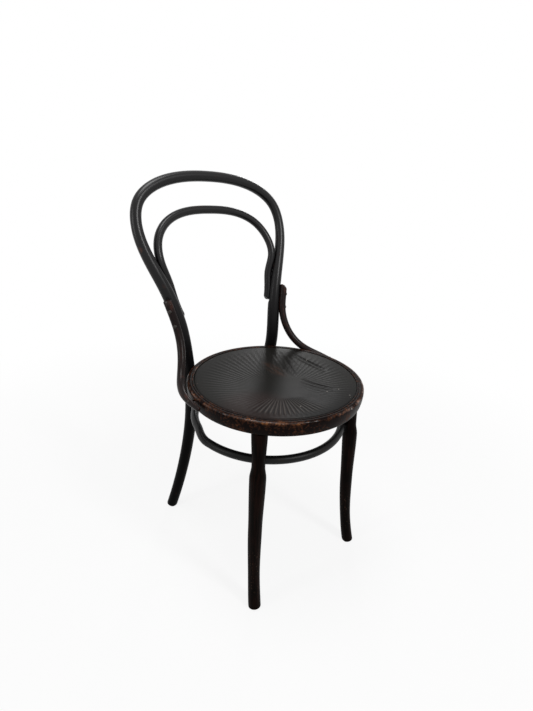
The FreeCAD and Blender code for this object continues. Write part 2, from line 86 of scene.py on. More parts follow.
def lengths(line):
    """Distance along a line at each of its points."""
    return np.concatenate([[0.0], np.cumsum(np.linalg.norm(np.diff(line, axis=0), axis=1))])


def full_turn(count):
    """Angles spaced evenly over one turn, in radians."""
    return np.arange(count) * 2 * math.pi / count


def placed(points_mm):
    """Knots given in millimetres about the seat's axis, as metres in the chair's frame."""
    return np.asarray(points_mm, float) / 1000.0 + np.array([0.0, SEAT_Y, 0.0])


def other_side(points):
    """The same points on the other side of the chair: X changes its sign."""
    return np.asarray(points) * MIRROR


def bent_line(knots, count):
    """Points evenly spaced on a smooth cubic through knots.

    Each span is a Hermite cubic in chord length. Its slopes are the ones that make curvature run
    on through every knot, and the first and last slope are those of the single cubic through the
    four knots at that end.
    """
    chord = lengths(knots)
    span = np.diff(chord)
    first = np.linalg.solve(np.vander(chord[:4] - chord[0], 4, increasing=True), knots[:4])[1]
    back = chord[:-5:-1]
    last = np.linalg.solve(np.vander(back - back[0], 4, increasing=True), knots[:-5:-1])[1]
    rise = np.diff(knots, axis=0) / span[:, None]
    inner = np.arange(1, len(knots) - 1)
    tied = np.eye(len(knots))
    pull = np.vstack([first, np.zeros((len(inner), 3)), last])
    tied[inner, inner - 1] = span[1:]
    tied[inner, inner] = 2 * (span[1:] + span[:-1])
    tied[inner, inner + 1] = span[:-1]
    pull[1:-1] = 3 * (span[1:, None] * rise[:-1] + span[:-1, None] * rise[1:])
    slope = np.linalg.solve(tied, pull)

    at = np.linspace(0.0, chord[-1], 6 * count)
    low = np.clip(np.searchsorted(chord, at, side="right") - 1, 0, len(span) - 1)
    share = ((at - chord[low]) / span[low])[:, None]
    reach = span[low][:, None]
    cube, square = share ** 3, share ** 2
    fine = ((2 * cube - 3 * square + 1) * knots[low] + (cube - 2 * square + share) * reach * slope[low]
            + (3 * square - 2 * cube) * knots[low + 1] + (cube - square) * reach * slope[low + 1])
    travel = lengths(fine)
    even = np.linspace(0.0, travel[-1], count)
    return np.stack([np.interp(even, travel, fine[:, axis]) for axis in range(3)], axis=1)


class Rod:
    """A bent line with its length, its directions and its radius, read at any distance along it."""

    def __init__(self, line, radius, side):
        self.line = line
        self.radius = radius
        self.travel = lengths(line)
        self.along = unit(np.gradient(line, self.travel, axis=0))
        self.side = unit(side - self.along * (self.along @ side)[:, None])
        self.third = np.cross(self.along, self.side)

    def read(self, values, at):
        """Straight-line reading of one row per station at distances of any shape."""
        if values.ndim == 1:
            return np.interp(at, self.travel, values)
        return np.stack([np.interp(at, self.travel, values[:, axis]) for axis in range(3)], axis=-1)

    def surface(self, at, turn):
        """Points centre + radius * (cos(turn) * side + sin(turn) * third) at distances along the rod."""
        radius = self.read(self.radius, at)
        return (self.read(self.line, at)
                + (radius * np.cos(turn))[..., None] * self.read(self.side, at)
                + (radius * np.sin(turn))[..., None] * self.read(self.third, at))

    def skin(self, count, around, start=None, end=None):
        """Rings of the rod's surface, and where each point lay in the straight, unbent wood.

        A cut end is a plane (point, outward normal). Every long line of the surface then starts
        where it meets that plane instead of at the rod's own end.
        """
        turn = full_turn(around)
        first = np.zeros(around) + self.cut(turn, start, 0.0)
        last = np.zeros(around) + self.cut(turn, end, self.travel[-1])
        at = first + np.linspace(0.0, 1.0, count)[:, None] * (last - first)
        radius = self.read(self.radius, at)
        grain = np.stack([radius * np.cos(turn), radius * np.sin(turn), at], axis=-1)
        return self.surface(at, turn), grain

    def cut(self, turn, plane, reach):
        """Distance along the rod at which each long line of its surface meets a plane."""
        if plane is None:
            return reach
        point, normal = np.asarray(plane[0], float), unit(plane[1])
        at = np.full(turn.shape, self.nearest(point))
        for _ in range(4):
            away = (point - self.surface(at, turn)) @ normal
            at = np.clip(at + away / (self.read(self.along, at) @ normal), 0.0, self.travel[-1])
        return at

    def nearest(self, point):
        """Distance along the rod of the station nearest to a point."""
        return self.travel[np.argmin(np.linalg.norm(self.line - point, axis=1))]


def capped(rings, grain, edge, steps=5):
    """Rings with both ends closed over: a rounded edge, then a face that shrinks to its middle.

    Ring by ring the edge turns through a right angle, moving in by edge * (1 - cos) and out by
    edge * sin, and after it the flat face shrinks in four more rings. Rings that stand too near
    an end for its rounded edge are left out.
    """
    centres = rings.mean(axis=1)
    turn = np.linspace(0.0, math.pi / 2, steps + 1)[1:, None, None]
    face = np.array([0.8, 0.5, 0.2, 0.02])[:, None, None]

    def end(number, before):
        middle = centres[number]
        out = unit(middle - centres[before])
        spread = rings[number] - middle
        wide = np.linalg.norm(spread, axis=1).mean()
        straight = rings[number][None] - out * edge
        shrunk = spread * (1 - edge * (1 - np.cos(turn)) / wide)
        soft = middle + shrunk + out * edge * (np.sin(turn) - 1)
        centre = soft[-1].mean(axis=0)
        closed = np.concatenate([straight, soft, centre + (soft[-1] - centre) * face])
        return closed, np.repeat(grain[number][None], len(closed), axis=0)

    head, head_marks = end(0, 2)
    tail, tail_marks = end(-1, -3)
    from_end = np.minimum(np.linalg.norm(centres - centres[0], axis=1),
                          np.linalg.norm(centres - centres[-1], axis=1))
    keep = from_end > 1.2 * edge
    return (np.concatenate([head[::-1], rings[keep], tail]),
            np.concatenate([head_marks[::-1], grain[keep], tail_marks]))


def bedded(rings, rod, batch=4000):
    """Points that lie inside another rod moved straight out from its line, just past its surface."""
    radius = rod.radius + BED_GAP
    flat = rings.reshape(-1, 3)
    low = rod.line.min(axis=0) - radius.max()
    high = rod.line.max(axis=0) + radius.max()
    near = np.flatnonzero(((flat > low) & (flat < high)).all(axis=1))
    for part in np.array_split(near, max(1, len(near) // batch)):
        away = flat[part][:, None, :] - rod.line[None]
        apart = np.linalg.norm(away, axis=2)
        closest = apart.argmin(axis=1)
        row = np.arange(len(part))
        depth = apart[row, closest]
        inside = depth < radius[closest]
        push = away[row, closest] / np.maximum(depth, 1e-6)[:, None]
        flat[part[inside]] = rod.line[closest[inside]] + push[inside] * radius[closest[inside]][:, None]
    return flat.reshape(rings.shape)


def window(value, low, high, soft):
    """1 between low and high, falling smoothly to 0 over a soft margin outside them."""
    rise = np.clip((value - low) / soft + 1, 0.0, 1.0)
    fall = np.clip((high - value) / soft + 1, 0.0, 1.0)
    edge = np.minimum(rise, fall)
    return edge * edge * (3 - 2 * edge)


def swell(distance, width):
    """Bell curve exp(-(distance / width)^2)."""
    return np.exp(-(distance / width) ** 2)


# Meshes

def with_poles(rings):
    """All points of some rings, and after them the middles of the first and the last ring."""
    middles = [rings[0].mean(axis=0), rings[-1].mean(axis=0)]
    return np.concatenate([rings.reshape(-1, 3), middles])


def grid_faces(count, around, wrap, start=0):
    """Faces between rings of points that are numbered from start.

    Each ring is joined to the next by quads. The first and last rings are closed over by a fan
    round their middles, or joined to each other when the surface wraps round.
    """
    corner = start + np.arange(count * around).reshape(count, around)
    below = corner if wrap else corner[:-1]
    above = np.roll(corner, -1, axis=0) if wrap else corner[1:]
    quads = np.stack([below, np.roll(below, -1, axis=1), np.roll(above, -1, axis=1), above], axis=-1)
    faces = quads.reshape(-1, 4).tolist()
    if not wrap:
        after = np.roll(corner, -1, axis=1)
        pole = np.full(around, start + count * around)
        faces += np.stack([pole, after[0], corner[0]], axis=-1).tolist()
        faces += np.stack([pole + 1, corner[-1], after[-1]], axis=-1).tolist()
    return faces


def new_mesh(name, points, faces):
    """A mesh with smooth shading."""
    mesh = bpy.data.meshes.new(name)
    mesh.from_pydata(points.tolist(), [], faces)
    mesh.polygons.foreach_set("use_smooth", np.ones(len(mesh.polygons), bool))
    mesh.update()
    return mesh


def shell(name, node, slot, rings, grain, wrap=False, wear_and_painted_light=None):
    """A piece whose surface is a grid of rings that each close on themselves.

    Every point keeps as its grain where it lay in the straight wood, and may keep a mark value, which is
    wear on the seat ring, the seam on the leg ring and painted highlight and shade on the panel.
    """
    points = rings.reshape(-1, 3) if wrap else with_poles(rings)
    marks = grain.reshape(-1, 3) if wrap else with_poles(grain)
    mesh = new_mesh(name, points, grid_faces(*rings.shape[:2], wrap))
    mesh.attributes.new("grain", "FLOAT_VECTOR", "POINT").data.foreach_set("vector", marks.ravel())
    if wear_and_painted_light is not None:
        values = np.concatenate([wear_and_painted_light.reshape(-1), np.zeros(len(points) - wear_and_painted_light.size)])
        mesh.attributes.new("wear_and_painted_light", "FLOAT", "POINT").data.foreach_set("value", values)
    piece(name, node, slot, mesh)


def piece(name, node, slot, mesh):
    """An object at the origin that rides with the chair and stands for a CAD node."""
    mesh.materials.append(finishes[slot])
    made = bpy.data.objects.new(name, mesh)
    bpy.context.scene.collection.objects.link(made)
    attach(made, "root")
    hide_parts(node)


def turned(profile, around):
    """Rings of a profile of (radius, height) rows turned about the Z axis."""
    profile = np.asarray(profile, float)
    turn = full_turn(around)
    return np.stack([profile[:, :1] * np.cos(turn), profile[:, :1] * np.sin(turn),
                     np.repeat(profile[:, 1:2], around, axis=1)], axis=-1)


CORNER_STEPS = 6


def softened(corners, radii):
    """A closed profile with its corners rounded: each corner becomes a quadratic arc."""
    corners = np.asarray(corners, float)
    before = np.roll(corners, 1, axis=0)
    after = np.roll(corners, -1, axis=0)
    share = np.linspace(0.0, 1.0, CORNER_STEPS)[:, None]
    out = []
    for point, back, ahead, radius in zip(corners, before, after, radii):
        start = point + unit(back - point) * radius
        end = point + unit(ahead - point) * radius
        out.append((1 - share) ** 2 * start + 2 * share * (1 - share) * point + share ** 2 * end)
    return np.concatenate(out)


# The bent rods, as knots in millimetres about the seat's axis, with Z from the floor

HOOP_HEAD = [(203.0, 258.0, 778.0), (189.7, 274.2, 823.2), (152.4, 285.6, 854.5),
             (93.3, 293.0, 874.8), (0.0, 295.8, 882.8)]
POST = placed([(165.0, 224.0, 0.0), (119.0, 207.0, 205.0), (114.0, 191.0, 356.6),
               (130.35, 174.24, 453.5), (142.3, 185.2, 556.0), (168.0, 211.5, 650.0),
               (188.3, 230.5, 702.0)] + HOOP_HEAD)
INNER_RIGHT = placed([(132.6, 205.2, 582.0), (142.2, 215.2, 618.0), (149.0, 225.6, 655.0)])
INNER_LEFT = placed([(-127.6, 204.2, 571.0), (-142.2, 215.2, 618.0), (-149.0, 225.6, 655.0)])
INNER_HEAD = placed([(162.2, 231.8, 697.0), (156.0, 254.2, 745.2), (127.8, 271.5, 778.8),
                     (80.8, 282.8, 799.8), (0.0, 287.2, 807.4)])
BRACE = placed([(173.7, 185.8, 624.0), (165.1, 175.9, 588.0), (159.5, 167.3, 558.0),
                (160.3, 150.6, 521.0), (172.0, 127.0, 486.0), (191.0, 95.5, 462.0),
                (205.2, 60.3, 454.5), (210.0, 21.9, 452.5), (208.9, -14.5, 452.0)])
FRONT_LEG = placed([(158.8, -166.5, 0.0), (147.2, -137.8, 200.0), (140.9, -128.32, 356.6),
                    (136.0, -120.0, 435.0)])


def both_sides(half):
    """A half line that ends on the middle plane, carried on down the other side."""
    return np.concatenate([half, other_side(half[:-1])[::-1]])


def eased(value, places, sizes):
    """Reading of sizes at rising places that is level at each place, as a turner blends them."""
    places, sizes = np.asarray(places), np.asarray(sizes)
    low = np.clip(np.searchsorted(places, value, side="right") - 1, 0, len(places) - 2)
    share = np.clip((value - places[low]) / (places[low + 1] - places[low]), 0.0, 1.0)
    blend = share * share * (3 - 2 * share)
    return sizes[low] + blend * (sizes[low + 1] - sizes[low])


def post_rod():
    """The rod of both rear legs and the outer hoop, fullest at the seat and thin round the top."""
    line = bent_line(both_sides(POST), count=700)
    heights = [0.0, LEG_RING_Z, 0.4535, 0.556, 0.778]
    radii = [0.0143, 0.0158, 0.0162, 0.0162, 0.0122]
    return Rod(line, np.interp(line[:, 2], heights, radii), Y_AXIS)


def inner_rod():
    """The rod of the inner hoop, even in thickness."""
    knots = np.concatenate([INNER_RIGHT, both_sides(INNER_HEAD), INNER_LEFT[::-1]])
    line = bent_line(knots, count=420)
    return Rod(line, np.full(len(line), INNER_ROD), Y_AXIS)


def brace_rod(flip):
    """A hip brace's rod, tapered from the rim of the seat to its tongue."""
    line = bent_line(other_side(BRACE) if flip else BRACE, count=240)
    taper_end, taper_start = -0.0147, 0.0931
    radius = np.interp(line[:, 1] - SEAT_Y, [taper_end, taper_start], [BRACE_TIP, BRACE_ROD])
    return Rod(line, radius, X_AXIS)


def leg_ring_reach(turn):
    """Distance of the leg ring's line from its middle: a circle, a little flat behind its sides."""
    from_back = np.degrees(np.arccos(np.cos(turn)))
    flat_start, flat_end, ease = 56.0, 76.0, 21.0
    return LEG_RING_R - LEG_RING_FLAT * window(from_back, flat_start, flat_end, ease)


def leg_ring_rod():
    """The leg ring's rod, level all round."""
    turn = np.linspace(0.0, 2 * math.pi, 721)
    reach = leg_ring_reach(turn)
    line = np.stack([reach * np.sin(turn), LEG_RING_Y + reach * np.cos(turn),
                     np.full(turn.shape, LEG_RING_Z)], axis=1)
    return Rod(line, np.full(len(line), LEG_RING_ROD), UP)


post = post_rod()
inner = inner_rod()
right_brace = brace_rod(False)
left_brace = brace_rod(True)
low_ring = leg_ring_rod()


def seat_drop(depth):
    """How far the seat lies below its front edge at a depth: it slopes down to the back."""
    return SEAT_SLOPE * (depth - (SEAT_Y - SEAT_R))


def sloped(rings):
    """Points of the level seat lowered along its slope."""
    out = rings.copy()
    out[..., 2] -= seat_drop(out[..., 1])
    return out


def seat_side_bed(rings):
    """Points inside the seat ring's side moved straight out to it, over the ring's height."""
    out = rings.copy()
    height = out[..., 2] + seat_drop(out[..., 1])
    level = (height > SEAT_TOP - RING_THICK) & (height < SEAT_TOP)
    away = out[..., :2] - SEAT_MIDDLE
    reach = np.linalg.norm(away, axis=-1)
    push = level & (reach < SEAT_R + BED_GAP) & (reach > RING_BORE)
    wanted = np.where(push, (SEAT_R + BED_GAP) / np.maximum(reach, 1e-6), 1.0)
    out[..., :2] = away * wanted[..., None] + SEAT_MIDDLE
    return out


def make_back_frame():
    """Both rear legs and the outer hoop, bedded where the other pieces lie against it."""
    rings, grain = post.skin(900, around=32, start=(POST[0], UP), end=(other_side(POST[0]), UP))
    rings = seat_side_bed(rings)
    for rod in (inner, right_brace, left_brace, low_ring):
        rings = bedded(rings, rod)
    rings, grain = capped(rings, grain, FOOT_EDGE)
    shell("back_frame_wood", "back_frame", "bent_rod", rings, grain)


def make_inner_hoop():
    """The inner hoop, each end cut on the slant with its edge rounded over."""
    slant, edge = np.array([-1.3, 0.0, -1.0]), 0.0035
    left_cut = (INNER_LEFT[0], other_side(slant))
    rings, grain = inner.skin(420, around=28, start=(INNER_RIGHT[0], slant), end=left_cut)
    rings, grain = capped(rings, grain, edge)
    shell("inner_hoop_wood", "inner_hoop", "bent_rod", rings, grain)


def make_brace(name, rod, node, flip):
    """A hip brace: slanted top, tongue at its lower end, flat where it lies on the seat ring."""
    side = MIRROR if flip else np.ones(3)
    slant, edge = np.array([0.75, -0.6, 1.0]), 0.0036
    rings, grain = rod.skin(300, around=28, start=(BRACE[0] * side, slant * side))
    rings, grain = capped(rings, grain, edge)
    rings = seat_side_bed(rings)
    shell(name, node, "worn_brace", rings, grain)


def make_leg_ring():
    """The leg ring. Its two ends overlap in a long glued scarf that shows as a seam across its top.

    The scarf's plane stands upright and moves from the outer side of the rod to its inner side
    while the ring turns through the scarf, so on the round section its seam lies where
    cos(angle) = 1 - 2 * share. The outer lap stands a little proud of the inner one.
    """
    seam_width, seam_depth, lap_rise = 0.0009, 0.0006, 0.0005
    turn = full_turn(900)[:, None]
    round_turn = full_turn(60)[None]
    share = (turn - SCARF_START) / (SCARF_END - SCARF_START)
    seam = np.arccos(np.clip(1 - 2 * share, -1.0, 1.0))
    apart = np.abs(np.minimum(round_turn, 2 * math.pi - round_turn)) - seam
    within = window(share, 0.0, 1.0, 0.01)
    line = swell(apart * LEG_RING_ROD, seam_width) * within
    radius = LEG_RING_ROD + lap_rise * within ** 2 * (apart < 0) - seam_depth * line
    across, rise = radius * np.cos(round_turn), radius * np.sin(round_turn)
    out = leg_ring_reach(turn) + across
    rings = np.stack([out * np.sin(turn), LEG_RING_Y + out * np.cos(turn), LEG_RING_Z + rise], axis=-1)
    grain = np.stack([across, rise, LEG_RING_R * turn + 0 * round_turn], axis=-1)
    shell("leg_ring_wood", "leg_ring", "leg_ring_rod", rings, grain, wrap=True, wear_and_painted_light=line)


def make_front_leg(name, node, flip):
    """A turned front leg, waisted where the leg ring is let into it."""
    line = bent_line(other_side(FRONT_LEG) if flip else FRONT_LEG, count=400)
    heights = [0.0, 0.075, 0.2, 0.328, LEG_RING_Z, 0.435]
    radii = [0.0141, 0.0133, 0.0151, 0.0176, 0.0140, 0.0168]
    leg = Rod(line, eased(line[:, 2], heights, radii), X_AXIS)
    rings, grain = leg.skin(320, around=32, start=(line[0], UP), end=(line[-1], UP))
    rings, grain = capped(bedded(rings, low_ring), grain, FOOT_EDGE)
    shell(name, node, "turned_leg", rings, grain)


# The seat

def ring_band(reach):
    """Height of the seat ring's top over its distance from the axis: a groove, a flat and a bead."""
    groove_at, bead_inner, bead_outer = 0.1925, 0.1888, 0.1908
    groove = 0.0005 * swell(reach - groove_at, 0.0007)
    bead = 0.0004 * window(reach, bead_inner, bead_outer, 0.0012)
    inner_step = 0.0003 * window(reach, 0.0, groove_at, 0.003)
    return SEAT_TOP - groove + bead - inner_step


def make_seat_ring():
    """The seat ring: a moulded profile turned about the seat's axis, with a rebate inside.

    Its wear rises towards the top of its side and is full along the upper edge at the front right,
    where sitters have rubbed it, and on the bead at the left.
    """
    under, ledge = SEAT_TOP - RING_THICK, SEAT_TOP - 0.0054
    wall = PANEL_R + 0.0004
    corners = [(RING_BORE, under), (SEAT_R - 0.003, under), (SEAT_R, SEAT_TOP - RING_THICK / 2),
               (SEAT_R, SEAT_TOP), (wall, SEAT_TOP - 0.0003), (wall, ledge), (RING_BORE, ledge)]
    soft = softened(corners, [0.002, 0.005, 0.008, 0.006, 0.0008, 0.0003, 0.001])
    lower, upper = soft[:3 * CORNER_STEPS], soft[3 * CORNER_STEPS:]
    side = np.linspace(0.1, 0.9, 8)[:, None] * (upper[0] - lower[-1]) + lower[-1]
    reach = np.linspace(SEAT_R - 0.0062, wall + 0.001, 44)
    band = np.stack([reach, ring_band(reach)], axis=1)
    outline = np.concatenate([lower, side, upper[:CORNER_STEPS], band, upper[CORNER_STEPS:]])
    profile = outline[::-1]
    around = 420
    turn = full_turn(around)
    rings = turned(profile, around).transpose(1, 0, 2)
    rings = sloped(rings + np.append(SEAT_MIDDLE, 0.0))
    reach, level = profile[None, :, 0], profile[None, :, 1]
    grain = np.stack(np.broadcast_arrays(reach, level, SEAT_R * turn[:, None]), axis=-1)
    facing = np.degrees(np.arctan2(np.cos(turn), -np.sin(turn)))[:, None]
    high = np.clip((level - under) / RING_THICK, 0.0, 1.0) * (reach > SEAT_R - 0.006)
    shoulder = swell(np.hypot(reach - SEAT_R + 0.0014, level - SEAT_TOP + 0.0016), 0.0024)
    rubbed = 0.35 + 0.65 * window(facing, 0.0, 75.0, 25.0)
    bead = swell(reach - 0.1900, 0.0011) * (level > ledge) * window(facing, -142.0, -112.0, 8.0)
    wear_and_painted_light = np.clip(0.45 * high ** 2 + shoulder * rubbed + bead, 0.0, 1.0)
    shell("seat_ring_wood", "seat_ring", "worn_seat_ring", rings, grain, wrap=True, wear_and_painted_light=wear_and_painted_light)


# The panel's rays and creases: a crease is its knots in millimetres, then its depth and width in metres

RAYS = 78
RAYS_MIDDLE = np.array([-0.019, -0.0425])
RAY_HEIGHT = 0.0010
RAY_FRONT = np.array([-0.52, -0.855])
CREASES = [
    ([(136.1, 85.7), (132.4, 62.1), (131.4, 23.4), (129.5, -40.0)], 0.0019, 0.0044),
    ([(55.0, -31.6), (59.9, -69.7), (68.3, -102.6), (70.6, -121.6)], 0.0012, 0.0040),
    ([(30.9, -50.3), (36.0, -70.0), (40.1, -89.5), (46.3, -130.6)], 0.0005, 0.0032),
    ([(113.2, 124.6), (102.0, 92.0), (88.3, 59.5), (56.4, -12.7)], 0.0010, 0.0036),
    ([(90.0, 118.0), (76.0, 84.0), (62.0, 48.0), (44.0, 4.0)], 0.0006, 0.0034),
    ([(126.0, 110.6), (114.0, 84.0), (104.8, 58.9), (89.6, 8.8)], 0.0007, 0.0036),
]


def creased(flat):
    """Rise and fall of the old panel's creases: each is a groove with a low ridge beside it."""
    height = np.zeros(len(flat))
    stations = 60
    for knots, depth, width in CREASES:
        line = bent_line(np.array([(x, y, 0.0) for x, y in knots]) / 1000.0, stations)[:, :2]
        ahead = unit(np.gradient(line, axis=0))
        for part in np.array_split(np.arange(len(flat)), 12):
            away = flat[part][:, None] - line[None]
            nearest = np.hypot(away[..., 0], away[..., 1]).argmin(axis=1)
            gap = away[np.arange(len(part)), nearest]
            across = gap[:, 0] * ahead[nearest, 1] - gap[:, 1] * ahead[nearest, 0]
            along = np.abs(gap[:, 0] * ahead[nearest, 0] + gap[:, 1] * ahead[nearest, 1])
            fade = np.sqrt(np.sin(math.pi * nearest / (stations - 1.0))) * swell(along, 2 * width)
            ridge = 0.7 * swell(across - 1.7 * width, width)
            height[part] += fade * depth * (ridge - swell(across, width))
    return height


def make_seat_panel():
    """The pressed panel: a dish with fine rays, laid out in rings about the rays' middle.

    With share the part of the way from the rays' middle to the rim, upper height = edge height
    - dish * (1 - share^2)^2 + ray height * ((1 + cos(count * angle)) / 2)^1.5 + creases. The rays
    grow from nothing near the middle, stand highest towards the front and fade before the rim.
    The tops of rays and the low ridges beside creases are kept as painted highlight, and the valleys
    between rays and the creases' grooves as painted shade.
    """
    around = RAYS * 10
    turn = full_turn(around)
    way = np.stack([np.sin(turn), np.cos(turn)], axis=-1)
    toward = way @ RAYS_MIDDLE
    rim = np.sqrt(toward ** 2 + PANEL_R ** 2 - RAYS_MIDDLE @ RAYS_MIDDLE) - toward
    inside = np.linspace(0.02, 1.0, 96)[:, None] * (rim - 0.003)
    edge = rim - np.array([0.0020, 0.0012, 0.0006, 0.0002, 0.0])[:, None]
    drop = np.append(np.zeros(len(inside)), [0.0001, 0.0003, 0.0006, 0.001, 0.0018])[:, None]
    reach = np.concatenate([inside, edge])
    share = reach / rim
    flat = RAYS_MIDDLE + reach[..., None] * way
    ridge = ((1 + np.cos(RAYS * turn)) / 2) ** 1.5
    ahead = 0.22 + 0.78 * window(way @ RAY_FRONT, 0.92, 1.0, 0.22)
    grown = eased(share, [0.0, 0.26, 0.46, 0.8, 0.965, 1.0], [0.0, 0.0, 0.9, 1.0, 0.0, 0.0]) * ahead
    margin = window(share, 0.0, 0.955, 0.012)
    dent = creased(flat.reshape(-1, 2)).reshape(share.shape) * margin
    dish = PANEL_DISH * (1 - share ** 2) ** 2
    upper = PANEL_EDGE - dish - drop + RAY_HEIGHT * grown * ridge + dent

    below = np.array([1.0, 0.995, RING_BORE / PANEL_R, 0.6, 0.3, 0.02])[:, None]
    low_flat = RAYS_MIDDLE + (below * rim)[..., None] * way
    low_dish = PANEL_DISH * (1 - below ** 2) ** 2
    over_ledge = np.hypot(low_flat[..., 0], low_flat[..., 1]) > RING_BORE - 0.001
    low = PANEL_EDGE - PANEL_THICK - np.where(over_ledge, 0.0, low_dish)
    flat = np.concatenate([flat, low_flat])
    height = np.concatenate([upper, low])
    rings = sloped(np.concatenate([flat + SEAT_MIDDLE, height[..., None]], axis=-1))
    from_axis = np.hypot(flat[..., 0], flat[..., 1])
    grain = np.stack(np.broadcast_arrays(from_axis, turn[None], height), axis=-1)
    # Painted highlight on ray tops and crease ridges, painted shade in the valleys and crease grooves
    wear_and_painted_light = np.concatenate([grown * (ridge - 0.3) + 150.0 * dent, np.zeros(low.shape)])
    shell("seat_panel_wood", "seat_panel", "pressed_panel", rings, grain, wear_and_painted_light=np.clip(wear_and_painted_light, -1.0, 1.0))


# Screws

def screw_rings(head, height, shank, slot_width, length, around=32):
    """A screw about the Z axis, head up, its seat at height zero.

    The head is a dome, height * sqrt(1 - (radius / head)^2), and the slot is pressed into it where
    a point's distance from the slot's middle line is under half its width.
    """
    slot_depth, point_length = 0.0011, 0.005
    lift = np.linspace(0.0, math.pi / 2, 9)
    dome = np.stack([head * np.sin(lift), height * np.cos(lift)], axis=1)[1:]
    crown = np.stack([np.linspace(0.02, 0.9, 7) * dome[0, 0], np.full(7, height)], axis=1)
    rest = np.array([[shank, 0.0], [shank, point_length - length], [shank * 0.15, -length]])
    rings = turned(np.concatenate([crown, dome, rest]), around)
    if slot_width:
        in_slot = (rings[..., 2] > height * 0.35) & (np.abs(rings[..., 1]) < slot_width / 2)
        rings[..., 2] -= slot_depth * in_slot
    return rings


def disc_rings(outer, thickness, around):
    """A washer or a nut with its bore, about the Z axis and below height zero."""
    profile = [(BOLT_BORE, 0.0), (outer, 0.0), (outer, -thickness), (BOLT_BORE, -thickness)]
    return turned(profile, around)


def set_in_place(name, node, places, rings, wrap=False):
    """A piece with a copy of a turned shape at each place, its head looking back along the way in.

    Each copy is spun on about its own axis, so that the slots don't all point one way.
    """
    rings = rings[:, ::-1]
    points, faces, count = [], [], 0
    for number, (seat, toward) in enumerate(places):
        out = -unit(toward)
        across = unit(np.cross(out, UP if abs(out[2]) < 0.9 else X_AXIS))
        spin = 0.7 + 1.3 * number
        first = math.cos(spin) * across + math.sin(spin) * np.cross(out, across)
        copy = placed(seat) + rings @ np.stack([first, np.cross(out, first), out])
        points.append(copy.reshape(-1, 3) if wrap else with_poles(copy))
        faces += grid_faces(*rings.shape[:2], wrap, count)
        count += len(points[-1])
    piece(name, node, "dark_steel", new_mesh(name, np.concatenate(points), faces))


def paired(places):
    """Seats and directions on the right side, each followed by its twin on the left."""
    return [(np.array(seat) * side, np.array(way) * side)
            for seat, way in places for side in (1.0, MIRROR)]


def screw_seat(outer, under, side, level):
    """Seat of a screw through one rod into another beside it, just under the first one's skin."""
    spots = []
    for rod in (outer, under):
        off = np.abs(rod.line[:, 2] - level / 1000.0) + (rod.line[:, 0] * side < 0)
        spots.append(off.argmin())
    here, there = outer.line[spots[0]], under.line[spots[1]]
    way = unit((there - here) * np.array([1.0, 1.0, 0.0]))
    seat = here - way * (outer.radius[spots[0]] - 0.0006) - np.array([0.0, SEAT_Y, 0.0])
    return 1000.0 * seat, way


def bolt_seats(reach):
    """Seats on both frame bolts at a distance from the seat's axis."""
    return paired([(reach * BOLT_WAY + (0.0, 0.0, BOLT_Z), -BOLT_WAY)])


def leg_ring_screw(from_back):
    """Seat of a screw through the leg ring from its inner side, at an angle from the back."""
    angle = math.radians(from_back)
    way = np.array([math.sin(angle), math.cos(angle), 0.0])
    reach = 1000.0 * (LEG_RING_R - LEG_RING_ROD + 0.0011)
    return reach * way + 1000.0 * np.array([0.0, LEG_RING_Y - SEAT_Y, LEG_RING_Z]), way


def pin_seat(turn):
    """Seat of a pin in the panel's edge at an angle from the back, lowered with the seat's slope."""
    across, behind = PIN_REACH * math.sin(turn), PIN_REACH * math.cos(turn)
    level = PIN_TOP - 1000.0 * seat_drop(behind / 1000.0 + SEAT_Y)
    return np.array([across, behind, level]) + SEAT_OFF, -UP


# Places of the fasteners, in millimetres about the seat's axis, with Z from the floor

SEAT_OFF = 1000.0 * SEAT_SHIFT * np.array([1.0, -1.0, 0.0])
BOLT_Z = 445.0
BOLT_WAY = np.array([0.599, 0.801, 0.0])
BOLT_HEAD_REACH = 231.6
WASHER_REACH = 162.6
WASHER_THICK = 1.5
HOOP_SCREW_HEIGHTS = {1: (612.0, 652.0), -1: (600.0, 640.0)}
BRACE_SCREW_HEIGHTS = (600.0, 566.0)
RIM_SCREW = ((213.5, 22.4, 454.5), (-0.995, -0.105, 0.0))
LEG_RING_SCREW_ANGLES = (34.3, 136.9)
PIN_REACH = 181.0
PIN_TOP = 469.1
PIN_COUNT = 8

BOLTS = bolt_seats(BOLT_HEAD_REACH)
WASHERS = [(seat + SEAT_OFF, way) for seat, way in bolt_seats(WASHER_REACH)]
NUTS = [(seat + WASHER_THICK * way, way) for seat, way in WASHERS]
PINS = [pin_seat((number + 0.5) * 2 * math.pi / PIN_COUNT) for number in range(PIN_COUNT)]
HOOP_SCREWS = [screw_seat(inner, post, side, level)
               for side, levels in HOOP_SCREW_HEIGHTS.items() for level in levels]
BRACE_SCREWS = [screw_seat(brace, post, side, level) for level in BRACE_SCREW_HEIGHTS
                for side, brace in ((1, right_brace), (-1, left_brace))]
RIM_SCREWS = paired([RIM_SCREW])
LEG_RING_SCREWS = paired([leg_ring_screw(angle) for angle in LEG_RING_SCREW_ANGLES])

# Heads in metres: their radius and height, the shank's radius and the slot's width

ROUND_HEAD = (0.0042, 0.0022, 0.0020, 0.0011)
FLAT_HEAD = (0.0040, 0.0008, 0.0020, 0.0009)
BOLT_HEAD = (0.0080, 0.0034, 0.0030, 0.0)
PIN_HEAD = (0.0012, 0.0004, 0.0009, 0.0)
BOLT_BORE = 0.00315
WASHER = disc_rings(outer=0.009, thickness=WASHER_THICK / 1000.0, around=32)
NUT = disc_rings(outer=0.0066, thickness=0.005, around=6)

# Piece, node, places, head and length in metres

